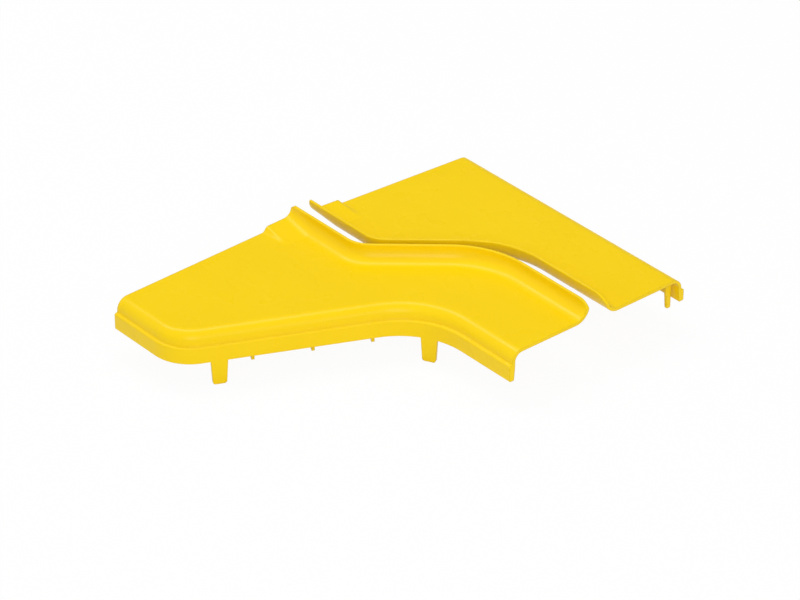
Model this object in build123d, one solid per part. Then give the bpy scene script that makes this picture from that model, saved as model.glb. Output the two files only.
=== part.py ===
from build123d import *
import os
from math import radians, tan

# Split cover for an offset reducer of a fibre raceway, in millimetres.
# It is two moulded halves that meet along an S-shaped seam, laid a little apart.
# While a half is built, X runs from the wide end to the narrow end, Y from the front to the back,
# the flat top is at Z = 0, and Y = 0 is the seam at the wide end.

# Run and widths
run_length = 236.8
front_reach = 167.2
rear_reach = 149.5
narrow_front_reach = 74.3

# Wide end, whose edges lean back from the seam to the outer corners
front_lean = 5.8
rear_lean = 9.5

# Front wall, which slants in from the wide end to the narrow end
taper_start = 72.4
taper_angle = 65.0
corner_radius = 32.0
bend_radius = 56.0

# Seam between the halves
seam_turn_start = 71.3
seam_jog = 73.0
seam_angle = 48.6
seam_first_radius = 20.0
seam_second_radius = 71.0
seam_clearance = 0.6

# Moulded sheet and the two-tier skirt
sheet = 2.4
top_edge_radius = 8.8
ledge_depth = 10.4
ledge_step = 2.5
ledge_round = 1.2
front_skirt_depth = 23.2
rear_skirt_depth = 19.8
rim_thickness = 4.0
skirt_edge_round = 0.7

# Upturned curb along the seam
cove_radius = 10.0
curb_height = 12.5
curb_edge_round = 1.0
narrow_nose_length = 12.0
narrow_nose_drop = 5.5
wide_nose_length = 5.0
wide_nose_drop = 2.5

# Raised shoulder beside the curb at the wide end
shoulder_rise = 4.0
shoulder_cove_radius = 7.0
shoulder_width = 24.5
shoulder_ramp = 6.0
shoulder_length = 26.0

# Long snap tabs under the skirt, with a catch on the inside
tab_length = 18.6
tab_root_width = 12.4
tab_tip_width = 10.0
tab_tip_round = 2.0
catch_width = 6.0
catch_height = 4.0
catch_depth = 1.8
tab_past_corner = 12.8
tab_bend_share = 0.57
rear_tab_margin = 60.0

# Locating fins, which hold the raceway wall against the skirt
fin_thickness = 2.0
fin_root_width = 5.5
fin_tip_width = 3.6
fin_tip_round = 0.8
fin_reach = 5.6
fin_pitch = 43.4
fin_past_corner = 38.4
fin_end_margin = 6.3
wall_slot = 2.6

# Space between the halves as they are laid out
laid_apart = 11.0
laid_along = 3.6

# Derived sizes
plate_inset = ledge_step + top_edge_radius + skirt_edge_round
cove_inset = sheet + cove_radius
skirt_inset = ledge_step + sheet
fin_inset = skirt_inset + wall_slot
foot_depth = front_skirt_depth + tab_length
shoulder_foot = shoulder_width + shoulder_ramp
curb_neck = curb_height - 1.25 * curb_edge_round
FRONT = -1
REAR = 1
skirt_depth = {FRONT: front_skirt_depth, REAR: rear_skirt_depth}
reach = {FRONT: front_reach, REAR: rear_reach}
lean = {FRONT: front_lean, REAR: rear_lean}


def jog_path(turn_at, near_y, far_y, angle, radii, offset, start_x=0.0):
    """Path to the narrow end with one jog, moved sideways by offset towards the back."""
    shift = -offset * tan(radians(angle) / 2)
    turn_run = (far_y - near_y) / tan(radians(angle))
    first = (turn_at + shift, near_y + offset)
    second = (turn_at + turn_run + shift, far_y + offset)
    start = (start_x, near_y + offset)
    end = (run_length, far_y + offset)
    return FilletPolyline(start, first, second, end, radius=[radii[0] - offset, radii[1] + offset])


def wall(side, inset=0.0):
    """Wall line of one half, inset into it: slanted at the front and straight at the back."""
    if side == REAR:
        return Line((0, rear_reach - inset), (run_length, rear_reach - inset))
    narrow_y = seam_jog - narrow_front_reach
    radii = (corner_radius, bend_radius)
    return jog_path(taper_start, -front_reach, narrow_y, taper_angle, radii, inset)


def seam(side, inset=0.0, start_x=0.0):
    """Seam line of one half, inset into it, from the wide end or from further along the run."""
    offset = side * (inset + seam_clearance / 2)
    radii = (seam_first_radius, seam_second_radius)
    return jog_path(seam_turn_start, 0, seam_jog, seam_angle, radii, offset, start_x)


def region(first, second):
    """Flat face between two lines that both run from the wide end to the narrow end."""
    ends = [Line(first @ 0, second @ 0), Line(first @ 1, second @ 1)]
    return make_face([*first.edges(), *second.edges(), *ends])


def layer(face, bottom, top):
    """Flat face made solid between two heights."""
    return extrude(Pos(0, 0, bottom) * face, amount=top - bottom)


def round_corner(face, corner, radius):
    """Face with the corner at a point rounded."""
    vertex = face.vertices().sort_by_distance(corner)[0]
    return fillet(vertex, radius)


def skirt_section(side):
    """Section of the top edge and the two-tier skirt, with X as inset from the wall line."""
    ledge_under = -ledge_depth - sheet
    bottom = -skirt_depth[side]
    outline = Polyline(
        (plate_inset, 0), (ledge_step, 0), (ledge_step, -ledge_depth), (0, -ledge_depth),
        (0, bottom), (rim_thickness, bottom), (skirt_inset, ledge_under),
        (skirt_inset, -sheet), (plate_inset, -sheet), close=True)
    section = make_face(outline)
    section = round_corner(section, (0, -ledge_depth), ledge_round)
    section = round_corner(section, (ledge_step, -ledge_depth), ledge_round)
    section = round_corner(section, (0, bottom), skirt_edge_round)
    section = round_corner(section, (skirt_inset, -sheet), top_edge_radius - sheet)
    return round_corner(section, (ledge_step, 0), top_edge_radius)


def curb_section():
    """Section of the sheet as it sweeps up into the curb, with X as inset from the seam line."""
    centre = (cove_inset, cove_radius)
    outline = [
        CenterArc(centre, cove_radius, 180, 90),
        Line((cove_inset, 0), (cove_inset, -sheet)),
        CenterArc(centre, cove_inset, 180, 90),
        Line((0, cove_radius), (0, curb_height)),
        Line((0, curb_height), (sheet, curb_height)),
        Line((sheet, curb_height), (sheet, cove_radius)),
    ]
    section = make_face(outline)
    section = round_corner(section, (0, curb_height), curb_edge_round)
    return round_corner(section, (sheet, curb_height), curb_edge_round)


def cross_plane(place, inward):
    """Plane across the run at a place, with X pointing into the half and Y up."""
    return Plane(origin=(place.X, place.Y, 0), x_dir=(0, inward, 0), z_dir=(inward, 0, 0))


def swept(section, path, inward):
    """Section carried along a line that runs to the narrow end."""
    return sweep(cross_plane(path @ 0, inward) * section, path=path)


def shoulder_section(rise, radius):
    """Section of a shoulder of some rise and the curb up to its neck, with X as inset from the seam line."""
    centre = (sheet + radius, rise + radius)
    ramp_middle = shoulder_width + shoulder_ramp / 2
    outline = [
        CenterArc(centre, radius, 180, 90),
        Line((centre[0], rise), (shoulder_width, rise)),
        Bezier((shoulder_width, rise), (ramp_middle, rise), (ramp_middle, 0), (shoulder_foot, 0)),
        Polyline((shoulder_foot, 0), (shoulder_foot, -sheet), (shoulder_width, rise - sheet),
                 (centre[0], rise - sheet)),
        CenterArc(centre, radius + sheet, 180, 90),
        Polyline((0, centre[1]), (0, curb_neck), (sheet, curb_neck), (sheet, centre[1])),
    ]
    return make_face(outline)


def curb_top(side):
    """Rounded top of the curb along the shoulder."""
    outline = Polyline((0, curb_neck), (0, curb_height), (sheet, curb_height), (sheet, curb_neck), close=True)
    section = round_corner(make_face(outline), (0, curb_height), curb_edge_round)
    section = round_corner(section, (sheet, curb_height), curb_edge_round)
    return extrude(cross_plane(seam(side) @ 0, side) * section, amount=side * shoulder_length)


def shoulder(side):
    """Curb with the raised shoulder beside it, which is full at the wide end and fades along the run."""
    start = cross_plane(seam(side) @ 0, side) * shoulder_section(shoulder_rise, shoulder_cove_radius)
    end = cross_plane(seam(side, 0, shoulder_length) @ 0, side) * shoulder_section(0, cove_radius)
    return loft([start, end], ruled=True) + curb_top(side)


def shoulder_room(side):
    """Part of the flat top that the shoulder takes the place of."""
    near = (seam(side) @ 0).Y
    far = near + side * shoulder_foot
    outline = Polyline((0, near), (shoulder_length, near), (shoulder_length, far), (0, far), close=True)
    return layer(make_face(outline), -sheet, 0)


def wide_end_trim(side):
    """Space outside the wide end, whose edge leans back from the seam to the outer corner."""
    past = 1 + sheet / reach[side]
    outer = side * reach[side] * past
    outline = Polyline((0, 0), (lean[side] * past, outer), (-sheet, outer), (-sheet, 0), close=True)
    return layer(make_face(outline), -foot_depth, curb_height)


def curb_nose(end_x, outward, length, drop):
    """Space outside the curb's rounded nose at one end of the run."""
    start = (end_x - outward * length, curb_height)
    end = (end_x, curb_height - drop)
    over = curb_height + drop
    beyond = end_x + outward * drop
    outline = [
        TangentArc(start, end, tangent=(outward, 0)),
        Polyline(end, (beyond, end[1]), (beyond, over), (start[0], over), start),
    ]
    return extrude(Plane.XZ * make_face(outline), amount=front_reach + rear_reach, both=True)


def wall_plane(side, station, across):
    """Upright plane at a distance along a wall: X into the half if across, or else along the wall."""
    path = wall(side)
    place = path.position_at(station, position_mode=PositionMode.LENGTH)
    along = path.tangent_at(station, position_mode=PositionMode.LENGTH)
    facing = Vector(side * along.Y, -side * along.X, 0) if across else along
    return Plane(origin=(place.X, place.Y, 0), x_dir=facing, z_dir=facing.cross(Vector(0, 0, 1)))


def snap_tab(side, station):
    """Long tab that carries the skirt's lower tier down, with tapered sides and a rounded tip."""
    top = -skirt_depth[side] + 2 * skirt_edge_round
    half_root = tab_root_width / 2
    half_tip = tab_tip_width / 2
    outline = Polyline((-half_root, top), (half_root, top), (half_tip, -foot_depth), (-half_tip, -foot_depth),
                       close=True)
    face = make_face(outline)
    for corner in ((half_tip, -foot_depth), (-half_tip, -foot_depth)):
        face = round_corner(face, corner, tab_tip_round)
    blade = extrude(wall_plane(side, station, False) * face, amount=2 * sheet, both=True)
    tab = blade & layer(region(wall(side), wall(side, sheet)), -foot_depth, top)
    return tab + snap_catch(side, station)


def snap_catch(side, station):
    """Ramped catch inside a tab's tip, which hooks under the bead of the raceway's wall."""
    low = -foot_depth + tab_tip_round
    high = low + catch_height
    root = sheet / 2
    outline = Polyline((root, low), (sheet, low), (sheet + catch_depth, high), (root, high), close=True)
    face = wall_plane(side, station, True) * make_face(outline)
    return extrude(face, amount=catch_width / 2, both=True)


def locating_fin(side, station):
    """Thin fin under the top, a raceway wall's thickness in from the skirt."""
    tip = -skirt_depth[side] - fin_reach
    outline = Polyline(
        (fin_inset, -sheet), (fin_inset + fin_root_width, -sheet / 2),
        (fin_inset + fin_tip_width, tip), (fin_inset, tip), close=True)
    face = make_face(outline)
    for corner in ((fin_inset, tip), (fin_inset + fin_tip_width, tip)):
        face = round_corner(face, corner, fin_tip_round)
    return extrude(wall_plane(side, station, True) * face, amount=fin_thickness / 2, both=True)


def tab_stations(side):
    """Distances of the long tabs along a wall, from the wide end."""
    if side == REAR:
        return [rear_tab_margin, run_length - rear_tab_margin]
    spans = [edge.length for edge in wall(side).edges().sort_by(Axis.X)]
    return [sum(spans[:2]) + tab_past_corner, sum(spans[:3]) + tab_bend_share * spans[3]]


def fin_stations(side):
    """Distances of the fins along a wall, from the wide end."""
    if side == REAR:
        first = fin_end_margin + rear_lean
        last = run_length - fin_end_margin
        count = int((last - first) / fin_pitch) + 1
        return [last - fin_pitch * index for index in range(count)]
    spans = [edge.length for edge in wall(side).edges().sort_by(Axis.X)]
    count = int((spans[2] - fin_past_corner) / fin_pitch) + 1
    return [sum(spans[:2]) + fin_past_corner + fin_pitch * index for index in range(count)]


def cover_half(side):
    """One moulded half: flat top, skirt, curb, shoulder, tabs and fins in one piece."""
    body = layer(region(wall(side, plate_inset), seam(side, cove_inset)), -sheet, 0)
    body -= shoulder_room(side)
    body += shoulder(side)
    body += swept(curb_section(), seam(side, 0, shoulder_length), side)
    body += swept(skirt_section(side), wall(side), -side)
    body -= wide_end_trim(side)
    body -= curb_nose(run_length, 1, narrow_nose_length, narrow_nose_drop)
    if side == FRONT:
        body -= curb_nose(0, -1, wide_nose_length, wide_nose_drop)
    for station in tab_stations(side):
        body += snap_tab(side, station)
    for station in fin_stations(side):
        body += locating_fin(side, station)
    return body


centre_x = (run_length + laid_along) / 2
centre_y = (rear_reach + laid_apart - front_reach) / 2
standing = Pos(-centre_x, -centre_y, foot_depth)
front_cover_half = standing * cover_half(FRONT)
rear_cover_half = standing * Pos(laid_along, laid_apart, 0) * cover_half(REAR)

os.makedirs("parts", exist_ok=True)
export_step(front_cover_half, "parts/front_cover_half.step")
export_step(rear_cover_half, "parts/rear_cover_half.step")
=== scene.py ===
"""Yellow split cover of a fibre raceway reducer, dressed and lit as a plain studio picture."""

import logging
import math
from dataclasses import dataclass
from enum import Enum
from typing import ClassVar

import bmesh
import bpy
from mathutils import Matrix, Quaternion, Vector


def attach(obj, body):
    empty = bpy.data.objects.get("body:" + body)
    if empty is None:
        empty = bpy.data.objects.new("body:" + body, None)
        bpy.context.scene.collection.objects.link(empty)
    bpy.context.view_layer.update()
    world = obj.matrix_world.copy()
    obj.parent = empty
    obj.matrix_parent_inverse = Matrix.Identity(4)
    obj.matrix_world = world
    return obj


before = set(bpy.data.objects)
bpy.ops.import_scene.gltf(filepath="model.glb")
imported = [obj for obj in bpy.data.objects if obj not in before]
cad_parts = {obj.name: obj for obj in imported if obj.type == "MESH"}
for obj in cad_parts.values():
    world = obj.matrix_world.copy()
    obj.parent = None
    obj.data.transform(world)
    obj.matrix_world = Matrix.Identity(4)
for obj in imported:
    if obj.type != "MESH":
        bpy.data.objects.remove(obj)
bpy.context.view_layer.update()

# Width of the picture in pixels, and of the camera's sensor in millimetres
IMAGE_WIDTH = 800
SENSOR_WIDTH = 36.0

# Sockets of a Mix node that mixes colours, whose names its other kinds of input share
MIX_SHARE = 0
MIX_FIRST = 6
MIX_SECOND = 7
MIX_COLOUR = 2

WHITE = (1.0, 1.0, 1.0, 1.0)
QUARTER_TURN = 90.0

log = logging.getLogger("split_cover")

Colour = tuple[float, float, float]
Place = tuple[float, float, float]
Output = bpy.types.NodeSocket
Source = bpy.types.NodeSocket | float | tuple


class Half(Enum):
    """The two moulded halves of the cover, by the name of their CAD node."""

    FRONT = "front_cover_half"
    REAR = "rear_cover_half"


class Socket(Enum):
    """Kinds of socket that the node groups have."""

    VALUE = "NodeSocketFloat"
    COLOUR = "NodeSocketColor"
    VECTOR = "NodeSocketVector"


class Clear(Enum):
    """Sides from which the camera looks through a sheet of stage paper."""

    BEHIND = "behind"
    BOTH_SIDES = "both sides"


@dataclass(frozen=True)
class Noise:
    """Noise pattern, and the levels between which a mask is cut out of it.

    Attributes:
        per_metre: Cells per metre.
        detail: Number of finer layers.
        draw: Scale of each axis, below one where the pattern is drawn out.
        low: Level at which the mask starts.
        high: Level at which the mask is full.
    """

    per_metre: Source
    detail: float
    draw: Place = (1.0, 1.0, 1.0)
    low: float = 0.0
    high: float = 1.0


@dataclass
class Wiring:
    """Adds nodes to one node tree and joins them.

    Attributes:
        tree: Node tree that is wired.
    """

    tree: bpy.types.NodeTree

    def node(self, kind: str, **settings: object) -> bpy.types.Node:
        """Adds a node.

        Args:
            kind: Type name of the node, without its ShaderNode prefix.
            settings: Properties of the node.

        Returns:
            The new node.
        """
        made = self.tree.nodes.new(f"ShaderNode{kind}")
        for name, value in settings.items():
            setattr(made, name, value)
        return made

    def feed(self, target: bpy.types.NodeSocket, source: Source) -> None:
        """Joins an output to an input, or sets the input's own value.

        Args:
            target: Input that is fed.
            source: Output to join, or a plain value.
        """
        if isinstance(source, bpy.types.NodeSocket):
            self.tree.links.new(source, target)
        else:
            target.default_value = source

    def maths(self, operation: str, *values: Output | float, clamp: bool = False) -> Output:
        """Adds a Math node.

        Args:
            operation: Name of the operation.
            values: Outputs or plain numbers, in the order of the node's inputs.
            clamp: Whether the result is kept between 0 and 1.

        Returns:
            The result.
        """
        made = self.node("Math", operation=operation, use_clamp=clamp)
        for target, value in zip(made.inputs, values):
            self.feed(target, value)
        return made.outputs["Value"]

    def spread(self, value: Output, low: float, high: float,
               to_low: float = 0.0, to_high: float = 1.0) -> Output:
        """Maps a range of a value smoothly to another range.

        Args:
            value: Output that is mapped.
            low: Value that becomes to_low.
            high: Value that becomes to_high.
            to_low: Result at and below low.
            to_high: Result at and above high.

        Returns:
            The mapped value.
        """
        made = self.node("MapRange", interpolation_type="SMOOTHSTEP")
        self.feed(made.inputs["Value"], value)
        made.inputs["From Min"].default_value = low
        made.inputs["From Max"].default_value = high
        made.inputs["To Min"].default_value = to_low
        made.inputs["To Max"].default_value = to_high
        return made.outputs["Result"]

    def noise(self, place: Output, pattern: Noise) -> Output:
        """Adds a noise pattern.

        Args:
            place: Coordinates that the pattern follows.
            pattern: Scale and detail of the pattern.

        Returns:
            The pattern, from 0 to 1.
        """
        mapping = self.node("Mapping")
        mapping.inputs["Scale"].default_value = pattern.draw
        self.feed(mapping.inputs["Vector"], place)
        made = self.node("TexNoise")
        self.feed(made.inputs["Vector"], mapping.outputs["Vector"])
        self.feed(made.inputs["Scale"], pattern.per_metre)
        made.inputs["Detail"].default_value = pattern.detail
        return made.outputs["Fac"]

    def mask(self, place: Output, pattern: Noise, least: float = 0.0) -> Output:
        """Cuts a soft mask out of a noise pattern.

        Args:
            place: Coordinates that the pattern follows.
            pattern: The pattern, with the levels between which it is cut.
            least: Value of the mask at and below the pattern's low level.

        Returns:
            The mask, from least to 1.
        """
        return self.spread(self.noise(place, pattern), pattern.low, pattern.high, least)

    def blend(self, share: Source, first: Source, second: Source) -> Output:
        """Mixes two colours.

        Args:
            share: Share of the second colour.
            first: First colour.
            second: Second colour.

        Returns:
            The mixed colour.
        """
        made = self.node("Mix", data_type="RGBA")
        self.feed(made.inputs[MIX_SHARE], share)
        self.feed(made.inputs[MIX_FIRST], first)
        self.feed(made.inputs[MIX_SECOND], second)
        return made.outputs[MIX_COLOUR]

    def blend_shaders(self, share: Output, first: Output, second: Output) -> Output:
        """Mixes two shaders.

        Args:
            share: Share of the second shader.
            first: First shader.
            second: Second shader.

        Returns:
            The mixed shader.
        """
        made = self.node("MixShader")
        for target, source in zip(made.inputs, (share, first, second)):
            self.feed(target, source)
        return made.outputs["Shader"]

    def seen_rays(self) -> Output:
        """Finds the rays that see the background itself.

        Returns:
            One for a camera, glossy or transmission ray, and zero for the light that falls on the cover.
        """
        path = self.node("LightPath").outputs
        glossy = self.maths("MAXIMUM", path["Is Glossy Ray"], path["Is Transmission Ray"])
        return self.maths("MAXIMUM", path["Is Camera Ray"], glossy)


@dataclass(frozen=True)
class Effect:
    """Surface effect that is built once as a node group.

    Attributes:
        name: Name of the group.
        takes: Names and kinds of the inputs.
        gives: Names and kinds of the outputs.
    """

    name: ClassVar[str] = ""
    takes: ClassVar[dict[str, Socket]] = {}
    gives: ClassVar[dict[str, Socket]] = {}

    def group(self) -> bpy.types.NodeTree:
        """Finds the group, or builds it.

        Returns:
            The node group.
        """
        if self.name in bpy.data.node_groups:
            return bpy.data.node_groups[self.name]
        tree = bpy.data.node_groups.new(self.name, "ShaderNodeTree")
        for name, kind in self.takes.items():
            tree.interface.new_socket(name, in_out="INPUT", socket_type=kind.value)
        for name, kind in self.gives.items():
            tree.interface.new_socket(name, in_out="OUTPUT", socket_type=kind.value)
        taken = tree.nodes.new("NodeGroupInput")
        given = tree.nodes.new("NodeGroupOutput")
        self.wire(Wiring(tree), taken.outputs, given.inputs)
        return tree

    def wire(self, wiring: Wiring, taken: bpy.types.NodeOutputs, given: bpy.types.NodeInputs) -> None:
        """Wires the effect between the group's sockets.

        Args:
            wiring: Wiring of the group's tree.
            taken: Sockets that bring the group's inputs.
            given: Sockets that take the group's outputs.
        """
        raise NotImplementedError

    def placed(self, wiring: Wiring, **values: Source) -> bpy.types.NodeOutputs:
        """Places the group in a material.

        Args:
            wiring: Wiring of the material's tree.
            values: Inputs by name, with a low line for each space.

        Returns:
            The group's outputs.
        """
        made = wiring.node("Group", node_tree=self.group())
        for name, value in values.items():
            wiring.feed(made.inputs[name.replace("_", " ")], value)
        return made.outputs


@dataclass(frozen=True)
class FlowTone(Effect):
    """Slow change of tone where the melt flowed, drawn out along the run.

    Attributes:
        clouds: Broad clouds of tone.
        streaks: Streaks along the run.
        cloud_share: Share of the clouds in the tone, of which the streaks have the rest.
        deep_level: Level at and below which the tone is the deep one.
        pale_level: Level at and above which the tone is the pale one.
    """

    name: ClassVar[str] = "flow_tone"
    takes: ClassVar[dict[str, Socket]] = {
        "place": Socket.VECTOR, "deep": Socket.COLOUR, "pale": Socket.COLOUR}
    gives: ClassVar[dict[str, Socket]] = {"colour": Socket.COLOUR}

    clouds: Noise = Noise(14.0, 2.0)
    streaks: Noise = Noise(60.0, 3.0, (0.12, 1.0, 1.0))
    cloud_share: float = 0.65
    deep_level: float = 0.3
    pale_level: float = 0.7

    def wire(self, wiring: Wiring, taken: bpy.types.NodeOutputs, given: bpy.types.NodeInputs) -> None:
        """Mixes clouds and streaks between the deep and the pale tone.

        Args:
            wiring: Wiring of the group's tree.
            taken: Sockets that bring the place and the two tones.
            given: Sockets that take the colour.
        """
        clouds = wiring.maths("MULTIPLY", wiring.noise(taken["place"], self.clouds), self.cloud_share)
        streaks = wiring.maths("MULTIPLY", wiring.noise(taken["place"], self.streaks), 1.0 - self.cloud_share)
        share = wiring.spread(wiring.maths("ADD", clouds, streaks), self.deep_level, self.pale_level)
        wiring.feed(given["colour"], wiring.blend(share, taken["deep"], taken["pale"]))


@dataclass(frozen=True)
class SparkGrain(Effect):
    """Fine pitted grain that a spark-eroded mould leaves on plastic.

    Attributes:
        pit_detail: Number of finer layers in the pits.
        pit_share: Share of the pits in the height, of which the ripple has the rest.
        ripple_detail: Number of finer layers in the ripple.
        ripple_share: Density of the ripple as a share of the pits'.
    """

    name: ClassVar[str] = "spark_grain"
    takes: ClassVar[dict[str, Socket]] = {"place": Socket.VECTOR, "pits per metre": Socket.VALUE}
    gives: ClassVar[dict[str, Socket]] = {"height": Socket.VALUE}

    pit_detail: float = 2.0
    pit_share: float = 0.7
    ripple_detail: float = 1.0
    ripple_share: float = 0.12

    def wire(self, wiring: Wiring, taken: bpy.types.NodeOutputs, given: bpy.types.NodeInputs) -> None:
        """Lays fine pits over a slower ripple.

        Args:
            wiring: Wiring of the group's tree.
            taken: Sockets that bring the place and the density of the pits.
            given: Sockets that take the height.
        """
        per_metre = taken["pits per metre"]
        pits = wiring.noise(taken["place"], Noise(per_metre, self.pit_detail))
        ripples_per_metre = wiring.maths("MULTIPLY", per_metre, self.ripple_share)
        ripple = wiring.noise(taken["place"], Noise(ripples_per_metre, self.ripple_detail))
        fine = wiring.maths("MULTIPLY", pits, self.pit_share)
        slow = wiring.maths("MULTIPLY", ripple, 1.0 - self.pit_share)
        wiring.feed(given["height"], wiring.maths("ADD", fine, slow))


@dataclass(frozen=True)
class HandlingRub(Effect):
    """Patches that hands and packing have rubbed a little smoother, with faint long scuffs.

    Attributes:
        patches: Rubbed patches.
        along: Scuffs along the run.
        across: Scuffs across the run.
        handled: Places that have scuffs.
    """

    name: ClassVar[str] = "handling_rub"
    takes: ClassVar[dict[str, Socket]] = {"place": Socket.VECTOR}
    gives: ClassVar[dict[str, Socket]] = {"patches": Socket.VALUE, "scuffs": Socket.VALUE}

    patches: Noise = Noise(32.0, 4.0, low=0.42, high=0.68)
    along: Noise = Noise(520.0, 2.0, (0.05, 1.0, 0.3), low=0.70, high=0.78)
    across: Noise = Noise(420.0, 2.0, (1.0, 0.06, 0.3), low=0.71, high=0.79)
    handled: Noise = Noise(21.0, 2.0, low=0.5, high=0.62)

    def wire(self, wiring: Wiring, taken: bpy.types.NodeOutputs, given: bpy.types.NodeInputs) -> None:
        """Cuts soft patches and thin streaks out of noise.

        Args:
            wiring: Wiring of the group's tree.
            taken: Sockets that bring the place.
            given: Sockets that take the patches and the scuffs.
        """
        place = taken["place"]
        wiring.feed(given["patches"], wiring.mask(place, self.patches))
        streaks = wiring.maths("MAXIMUM", wiring.mask(place, self.along), wiring.mask(place, self.across))
        wiring.feed(given["scuffs"], wiring.maths("MULTIPLY", streaks, wiring.mask(place, self.handled)))


@dataclass(frozen=True)
class PaintedEdgeHighlight(Effect):
    """Outer edges that are rubbed a little paler than the flats.

    Attributes:
        turn_start: Turn of the rounded normal at which the painted highlight starts, as one less its cosine.
        turn_full: Turn at which the painted highlight is full.
        breaks: Pattern that breaks the line up.
        least_highlight: Share of the painted highlight that is left where the line is broken.
        least_highlight: Share of the rub that is left where the line is broken.
    """

    name: ClassVar[str] = "painted_edge_highlight"
    takes: ClassVar[dict[str, Socket]] = {
        "place": Socket.VECTOR, "flat normal": Socket.VECTOR, "rounded normal": Socket.VECTOR}
    gives: ClassVar[dict[str, Socket]] = {"edges": Socket.VALUE}

    turn_start: float = 0.06
    turn_full: float = 0.26
    breaks: Noise = Noise(120.0, 3.0, low=0.25, high=0.75)
    least_highlight: float = 0.45

    def wire(self, wiring: Wiring, taken: bpy.types.NodeOutputs, given: bpy.types.NodeInputs) -> None:
        """Finds where the surface turns quickly and breaks the line up with noise.

        Args:
            wiring: Wiring of the group's tree.
            taken: Sockets that bring the place and the two normals.
            given: Sockets that take the mask of the painted edge highlight.
        """
        turn = wiring.node("VectorMath", operation="DOT_PRODUCT")
        wiring.feed(turn.inputs[0], taken["flat normal"])
        wiring.feed(turn.inputs[1], taken["rounded normal"])
        bend = wiring.maths("SUBTRACT", 1.0, turn.outputs["Value"])
        # Mask of the painted highlight: the edges where the rounded normal turns away from the flat one.
        edges = wiring.spread(bend, self.turn_start, self.turn_full)
        broken = wiring.mask(taken["place"], self.breaks, self.least_highlight)
        wiring.feed(given["edges"], wiring.maths("MULTIPLY", edges, broken))


@dataclass(frozen=True)
class PinMarks(Effect):
    """Round marks of the mould's ejector pins, in rows on the faces that look down.

    Attributes:
        rim_start: Share of the radius at which a mark's rim starts to rise.
    """

    name: ClassVar[str] = "pin_marks"
    takes: ClassVar[dict[str, Socket]] = {
        "place": Socket.VECTOR, "pitch": Socket.VALUE, "radius": Socket.VALUE, "facing": Socket.VALUE}
    gives: ClassVar[dict[str, Socket]] = {"height": Socket.VALUE}

    rim_start: float = 0.93

    def wire(self, wiring: Wiring, taken: bpy.types.NodeOutputs, given: bpy.types.NodeInputs) -> None:
        """Repeats a sunk disc over the plan and keeps it where the surface looks down.

        Args:
            wiring: Wiring of the group's tree.
            taken: Sockets that bring the place, the pins' pitch and radius, and the mask of the faces.
            given: Sockets that take the height.
        """
        axes = wiring.node("SeparateXYZ")
        wiring.feed(axes.inputs["Vector"], taken["place"])
        half = wiring.maths("MULTIPLY", taken["pitch"], 0.5)
        back = wiring.maths("MULTIPLY", half, -1.0)
        offsets = [wiring.maths("WRAP", axes.outputs[axis], half, back) for axis in "XY"]
        squares = [wiring.maths("POWER", offset, 2.0) for offset in offsets]
        distance = wiring.maths("SQRT", wiring.maths("ADD", *squares))
        sunk = wiring.spread(wiring.maths("DIVIDE", distance, taken["radius"]), self.rim_start, 1.0, 1.0, 0.0)
        mark = wiring.maths("MULTIPLY", sunk, taken["facing"])
        wiring.feed(given["height"], wiring.maths("SUBTRACT", 1.0, mark))


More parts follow.
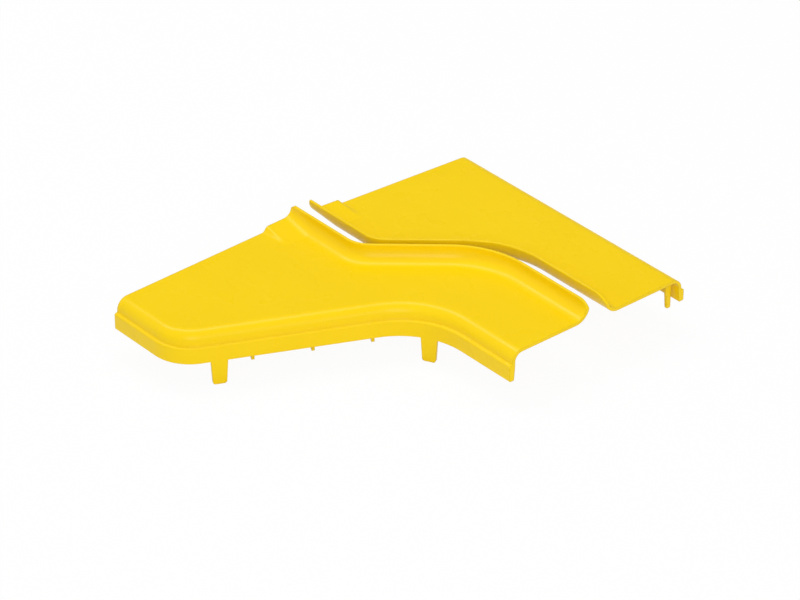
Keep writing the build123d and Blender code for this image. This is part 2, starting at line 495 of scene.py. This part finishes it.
@dataclass(frozen=True)
class YellowMoulding:
    """Satin yellow moulding plastic with a fine grain, and a painted highlight that makes its edges a little
    paler.

    Attributes:
        name: Name of the material.
        deep: Deeper tone of the plastic, linear.
        pale: Paler tone of the plastic, linear.
        edge_highlight_tone: Paler tone painted on the edges as a highlight, linear.
        edge_radius: Radius by which the shading rounds sharp edges, in metres.
        edge_samples: Samples of that rounding.
        edge_highlight_share: Share of the painted highlight tone on an edge.
        gloss_level: Strength of the surface reflection.
        satin: Roughness of the grained surface.
        polished: Roughness where it is rubbed smooth.
        scuff: Roughness that a scuff adds.
        underside: Roughness of the faces that look down.
        down_full: Height of the normal at and below which a face looks down.
        down_start: Height of the normal at and above which it doesn't.
        pits_per_metre: Density of the grain.
        grain_depth: Depth of the grain, in metres.
        pin_pitch: Distance between ejector pins, in metres.
        pin_radius: Radius of an ejector pin, in metres.
        pin_depth: Depth of a pin's mark, in metres.
    """

    name: str = "yellow_plastic"
    deep: Colour = (0.935, 0.642, 0.0025)
    pale: Colour = (0.955, 0.66, 0.0035)
    edge_highlight_tone: Colour = (0.985, 0.72, 0.035)
    edge_radius: float = 0.0012
    edge_samples: int = 6
    edge_highlight_share: float = 0.45
    gloss_level: float = 0.16
    satin: float = 0.29
    polished: float = 0.25
    scuff: float = 0.12
    underside: float = 0.46
    down_full: float = -0.95
    down_start: float = -0.9
    pits_per_metre: float = 1500.0
    grain_depth: float = 0.00003
    pin_pitch: float = 0.048
    pin_radius: float = 0.004
    pin_depth: float = 0.00015

    def build(self) -> bpy.types.Material:
        """Makes the material.

        Returns:
            The new material.
        """
        material = bpy.data.materials.new(self.name)
        material.use_nodes = True
        wiring = Wiring(material.node_tree)
        shader = material.node_tree.nodes["Principled BSDF"]
        shader.inputs["Specular IOR Level"].default_value = self.gloss_level
        place = wiring.node("TexCoord").outputs["Object"]
        flat = wiring.node("NewGeometry").outputs["Normal"]
        bevel = wiring.node("Bevel", samples=self.edge_samples)
        bevel.inputs["Radius"].default_value = self.edge_radius
        rounded = bevel.outputs["Normal"]
        # The pale edge tone is a painted highlight along the sharp edges.
        edges = PaintedEdgeHighlight().placed(wiring, place=place, flat_normal=flat, rounded_normal=rounded)
        axes = wiring.node("SeparateXYZ")
        wiring.feed(axes.inputs["Vector"], flat)
        facing_down = wiring.spread(axes.outputs["Z"], self.down_full, self.down_start, 1.0, 0.0)
        self.colour_in(wiring, shader, place, edges["edges"])
        self.roughen(wiring, shader, place, facing_down)
        self.emboss(wiring, shader, place, facing_down, rounded)
        return material

    def colour_in(self, wiring: Wiring, shader: bpy.types.Node, place: Output, edges: Output) -> None:
        """Gives the shader its colour, with the painted highlight along its edges.

        Args:
            wiring: Wiring of the material.
            shader: Shader of the material.
            place: Object coordinates.
            edges: Mask of the painted edge highlight.
        """
        tone = FlowTone().placed(wiring, place=place, deep=(*self.deep, 1.0), pale=(*self.pale, 1.0))
        # Painted highlight: the paler tone is mixed in along the edges.
        share = wiring.maths("MULTIPLY", edges, self.edge_highlight_share)
        wiring.feed(shader.inputs["Base Color"], wiring.blend(share, tone["colour"], (*self.edge_highlight_tone, 1.0)))

    def roughen(self, wiring: Wiring, shader: bpy.types.Node, place: Output, facing_down: Output) -> None:
        """Gives the shader its roughness.

        Args:
            wiring: Wiring of the material.
            shader: Shader of the material.
            place: Object coordinates.
            facing_down: Mask of the faces that look down.
        """
        rub = HandlingRub().placed(wiring, place=place)
        rubbed = wiring.spread(rub["patches"], 0.0, 1.0, self.satin, self.polished)
        scuffed = wiring.maths("ADD", rubbed, wiring.maths("MULTIPLY", rub["scuffs"], self.scuff))
        matt = wiring.maths("MULTIPLY", facing_down, self.underside - self.polished)
        wiring.feed(shader.inputs["Roughness"], wiring.maths("ADD", scuffed, matt, clamp=True))

    def emboss(self, wiring: Wiring, shader: bpy.types.Node, place: Output, facing_down: Output,
               rounded: Output) -> None:
        """Gives the shader its grain, pin marks and rounded edges.

        Args:
            wiring: Wiring of the material.
            shader: Shader of the material.
            place: Object coordinates.
            facing_down: Mask of the faces that look down.
            rounded: Normal that is rounded over sharp edges.
        """
        grain = SparkGrain().placed(wiring, place=place, pits_per_metre=self.pits_per_metre)
        pins = PinMarks().placed(wiring, place=place, pitch=self.pin_pitch, radius=self.pin_radius,
                                 facing=facing_down)
        grain_height = wiring.maths("MULTIPLY", grain["height"], self.grain_depth)
        pin_height = wiring.maths("MULTIPLY", pins["height"], self.pin_depth)
        bump = wiring.node("Bump")
        bump.inputs["Distance"].default_value = 1.0
        wiring.feed(bump.inputs["Height"], wiring.maths("ADD", grain_height, pin_height))
        wiring.feed(bump.inputs["Normal"], rounded)
        wiring.feed(shader.inputs["Normal"], bump.outputs["Normal"])


@dataclass(frozen=True)
class StagePaper:
    """Matt paper of the studio, which the camera looks through from some sides.

    Attributes:
        name: Name of the material.
        grey: Grey of the paper, linear.
        clear: Sides from which the camera looks through it.
        white_share: Share of plain white in what is seen of it, of which light and shadow have the rest.
    """

    name: str
    grey: float
    clear: Clear
    white_share: float = 0.0

    def build(self) -> bpy.types.Material:
        """Makes the material.

        Returns:
            The new material.
        """
        material = bpy.data.materials.new(self.name)
        material.use_nodes = True
        wiring = Wiring(material.node_tree)
        paper = material.node_tree.nodes["Principled BSDF"]
        paper.inputs["Base Color"].default_value = (self.grey, self.grey, self.grey, 1.0)
        paper.inputs["Specular IOR Level"].default_value = 0.0
        shader = paper.outputs["BSDF"]
        if self.white_share > 0.0:
            share = wiring.maths("MULTIPLY", wiring.seen_rays(), self.white_share)
            shader = wiring.blend_shaders(share, shader, wiring.node("Emission").outputs["Emission"])
        clear = wiring.node("BsdfTransparent").outputs["BSDF"]
        shader = wiring.blend_shaders(self.passing_rays(wiring), shader, clear)
        wiring.feed(material.node_tree.nodes["Material Output"].inputs["Surface"], shader)
        return material

    def passing_rays(self, wiring: Wiring) -> Output:
        """Finds the rays that pass through the paper.

        Args:
            wiring: Wiring of the material.

        Returns:
            One for a camera ray from a clear side, and zero for any other ray.
        """
        seen = wiring.node("LightPath").outputs["Is Camera Ray"]
        if self.clear is Clear.BOTH_SIDES:
            return seen
        return wiring.maths("MULTIPLY", wiring.node("NewGeometry").outputs["Backfacing"], seen)


def add_piece(name: str, shape: bmesh.types.BMesh, finish: bpy.types.Material) -> bpy.types.Object:
    """Turns a finished shape into an object of the scene.

    Args:
        name: Name of the object.
        shape: The shape, which is used up.
        finish: Material of the object.

    Returns:
        The new object.
    """
    mesh = bpy.data.meshes.new(name)
    shape.to_mesh(mesh)
    shape.free()
    mesh.materials.append(finish)
    piece = bpy.data.objects.new(name, mesh)
    bpy.context.scene.collection.objects.link(piece)
    return piece


@dataclass
class CoverHalf:
    """One moulded half of the cover, which keeps its CAD shape.

    Attributes:
        half: Which half it is.
        finish: Material of the half.
    """

    half: Half
    finish: bpy.types.Material

    def dress(self) -> bpy.types.Object:
        """Puts the finish on the half.

        Returns:
            The half's object.
        """
        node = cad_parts[self.half.value]
        node.data.materials.clear()
        node.data.materials.append(self.finish)
        return node


@dataclass
class FinEnds:
    """Lower ends of the locating fins under the slanted front wall, which show below the skirt.

    Attributes:
        finish: Material of the ends.
        name: Name of the piece.
        first: Place of the first fin on the wall line, in metres.
        wall_turn: Turn of the slanted wall from the run, in degrees.
        pitch: Distance between fins along the wall, in metres.
        count: Number of fins.
        inset: Distance of a fin from the wall line, in metres.
        width: Width of an end across the wall, in metres.
        thickness: Thickness of an end along the wall, in metres.
        tip: Height of the moulded fin's tip above the floor, in metres.
        lap: Height by which an end laps the moulded fin, in metres.
        reach: Height by which an end goes on below that tip, in metres.
        tip_round: Radius of the lower corners, in metres.
        round_steps: Number of faces in a rounded corner.
    """

    finish: bpy.types.Material
    name: str = "front_fin_ends"
    first: tuple[float, float] = (-0.02296, -0.11057)
    wall_turn: float = 65.0
    pitch: float = 0.0434
    count: int = 3
    inset: float = 0.00745
    width: float = 0.0037
    thickness: float = 0.0021
    tip: float = 0.013
    lap: float = 0.0016
    reach: float = 0.0023
    tip_round: float = 0.0008
    round_steps: int = 4

    def build(self) -> bpy.types.Object:
        """Makes the ends as one piece that rides with the cover.

        Returns:
            The piece.
        """
        shape = bmesh.new()
        self.shape_end(shape)
        self.repeat_end(shape)
        piece = add_piece(self.name, shape, self.finish)
        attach(piece, "root")
        return piece

    def shape_end(self, shape: bmesh.types.BMesh) -> None:
        """Makes the first end, with rounded lower corners, on the first fin.

        Args:
            shape: Mesh that the end is added to.
        """
        sized = Matrix.Diagonal((self.width, self.thickness, self.lap + self.reach, 1.0))
        bmesh.ops.create_cube(shape, size=1.0, matrix=sized)
        low = [edge for edge in shape.edges if all(vert.co.z < 0.0 for vert in edge.verts)]
        corners = [edge for edge in low if edge.verts[0].co.x == edge.verts[1].co.x]
        bmesh.ops.bevel(shape, geom=corners, offset=self.tip_round, segments=self.round_steps, profile=0.5,
                        affect="EDGES", material=-1)
        height = self.tip + (self.lap - self.reach) / 2
        middle = Matrix.Translation((self.inset + self.width / 2, 0.0, height))
        turned = Matrix.Rotation(math.radians(self.wall_turn + QUARTER_TURN), 4, "Z")
        seated = Matrix.Translation((*self.first, 0.0)) @ turned @ middle
        bmesh.ops.transform(shape, matrix=seated, verts=shape.verts)

    def repeat_end(self, shape: bmesh.types.BMesh) -> None:
        """Repeats the first end along the wall.

        Args:
            shape: Mesh that holds the first end.
        """
        turn = math.radians(self.wall_turn)
        step = self.pitch * Vector((math.cos(turn), math.sin(turn), 0.0))
        one = [*shape.verts, *shape.edges, *shape.faces]
        for index in range(1, self.count):
            copied = bmesh.ops.duplicate(shape, geom=one)["geom"]
            verts = [part for part in copied if isinstance(part, bmesh.types.BMVert)]
            bmesh.ops.translate(shape, vec=index * step, verts=verts)


@dataclass(frozen=True)
class Softbox:
    """Large soft lamp that looks at the middle of the cover.

    Attributes:
        name: Name of the lamp.
        place: Place of the lamp, in metres.
        width: Width of its face, in metres.
        length: Length of its face in the direction that it leans, in metres.
        power: Power of the lamp, in watts.
        roll: Turn of its face about the direction that it looks in, in degrees.
    """

    name: str
    place: Place
    width: float
    length: float
    power: float
    roll: float = 0.0

    def hang(self) -> bpy.types.Object:
        """Makes the lamp.

        Returns:
            The lamp's object.
        """
        data = bpy.data.lights.new(self.name, "AREA")
        data.shape = "RECTANGLE"
        data.size = self.width
        data.size_y = self.length
        data.energy = self.power
        lamp = bpy.data.objects.new(self.name, data)
        lamp.location = self.place
        aimed = (-Vector(self.place)).to_track_quat("-Z", "Y")
        rolled = Quaternion((0.0, 0.0, 1.0), math.radians(self.roll))
        lamp.rotation_euler = (aimed @ rolled).to_euler()
        bpy.context.scene.collection.objects.link(lamp)
        return lamp


@dataclass
class Studio:
    """White floor, even light and the camera of the picture.

    Attributes:
        azimuth: Turn of the view from straight along +Y, in degrees.
        elevation: Height of the view above level, in degrees.
        focal_px: Focal length in image pixels.
        distance: Distance from the camera to its target, in metres.
        view_depth: Distance to which the camera sees, in metres.
        target: Place that the camera looks at, in metres.
        floor_size: Edge of the square floor, in metres.
        floor_paper: Paper of the floor, white where it is seen and clear from below.
        sky_level: Level of the light from all round.
        card_distance: Distance of the grey card behind the cover, in metres.
        card_width: Width of the grey card, in metres.
        card_height: Height of the grey card, in metres.
        card_paper: Paper of the card, which the camera looks through.
        softboxes: Lamps above the cover.
    """

    azimuth: float = 49.68
    elevation: float = 32.11
    focal_px: float = 4000.0
    distance: float = 2.803
    view_depth: float = 100.0
    target: Place = (0.01473, -0.01056, 0.04211)
    floor_size: float = 30.0
    floor_paper: StagePaper = StagePaper("white_floor", 0.9, Clear.BEHIND, 0.95)
    sky_level: float = 0.57
    card_distance: float = 1.5
    card_width: float = 3.0
    card_height: float = 1.9
    card_paper: StagePaper = StagePaper("grey_paper", 0.3, Clear.BOTH_SIDES)
    softboxes: tuple[Softbox, ...] = (
        Softbox("front_softbox", (1.8, -1.4, 1.55), 1.2, 1.2, 20.0),
        Softbox("right_softbox", (2.35, -0.2, 1.25), 0.5, 0.5, 4.8),
        Softbox("top_softbox", (-0.7, 0.1, 1.75), 0.34, 1.6, 13.2, 42.0),
    )

    def place_camera(self) -> bpy.types.Object:
        """Makes the camera at the picture's viewing angle.

        Returns:
            The camera object.
        """
        data = bpy.data.cameras.new("camera")
        data.sensor_width = SENSOR_WIDTH
        data.lens = SENSOR_WIDTH * self.focal_px / IMAGE_WIDTH
        data.clip_end = self.view_depth
        turn = math.radians(self.azimuth)
        rise = math.radians(self.elevation)
        away = Vector((math.cos(rise) * math.sin(turn), -math.cos(rise) * math.cos(turn), math.sin(rise)))
        camera = bpy.data.objects.new("camera", data)
        camera.location = Vector(self.target) + self.distance * away
        camera.rotation_euler = (-away).to_track_quat("-Z", "Y").to_euler()
        bpy.context.scene.collection.objects.link(camera)
        bpy.context.scene.camera = camera
        return camera

    def lay_floor(self) -> bpy.types.Object:
        """Makes the floor, which keeps the cover's faint shadow.

        Returns:
            The floor object.
        """
        shape = bmesh.new()
        bmesh.ops.create_grid(shape, x_segments=1, y_segments=1, size=self.floor_size / 2)
        floor = add_piece("floor", shape, self.floor_paper.build())
        return floor

    def stand_card(self) -> bpy.types.Object:
        """Makes the grey card behind the cover, which the flat tops mirror.

        Returns:
            The card object.
        """
        shape = bmesh.new()
        bmesh.ops.create_grid(shape, x_segments=1, y_segments=1, size=1.0)
        sized = Matrix.Diagonal((self.card_width / 2, self.card_height / 2, 1.0, 1.0))
        upright = Matrix.Rotation(math.radians(QUARTER_TURN), 4, "X")
        stood = Matrix.Translation((0.0, self.card_distance, self.card_height / 2))
        turned = Matrix.Rotation(math.radians(self.azimuth), 4, "Z")
        bmesh.ops.transform(shape, matrix=turned @ stood @ upright @ sized, verts=shape.verts)
        card = add_piece("grey_card", shape, self.card_paper.build())
        return card

    def light_sky(self) -> bpy.types.World:
        """Makes the even light that comes from all round, white where it is seen.

        Returns:
            The world.
        """
        world = bpy.data.worlds.new("studio")
        world.use_nodes = True
        wiring = Wiring(world.node_tree)
        sky = world.node_tree.nodes["Background"]
        sky.inputs["Color"].default_value = WHITE
        level = wiring.spread(wiring.seen_rays(), 0.0, 1.0, self.sky_level, 1.0)
        wiring.feed(sky.inputs["Strength"], level)
        bpy.context.scene.world = world
        return world


def main() -> None:
    """Dresses both halves, adds the fins' ends, then sets up the camera, the floor and the light."""
    logging.basicConfig(level=logging.INFO)
    bpy.context.scene.view_settings.view_transform = "Standard"
    finish = YellowMoulding().build()
    for half in Half:
        piece = CoverHalf(half, finish).dress()
        log.info("dressed %s with %s", piece.name, finish.name)
    log.info("built %s", FinEnds(finish).build().name)
    studio = Studio()
    log.info("placed %s", studio.place_camera().name)
    log.info("laid %s", studio.lay_floor().name)
    log.info("stood %s", studio.stand_card().name)
    log.info("lit %s", studio.light_sky().name)
    for softbox in studio.softboxes:
        log.info("hung %s", softbox.hang().name)


if __name__ == "__main__":
    main()
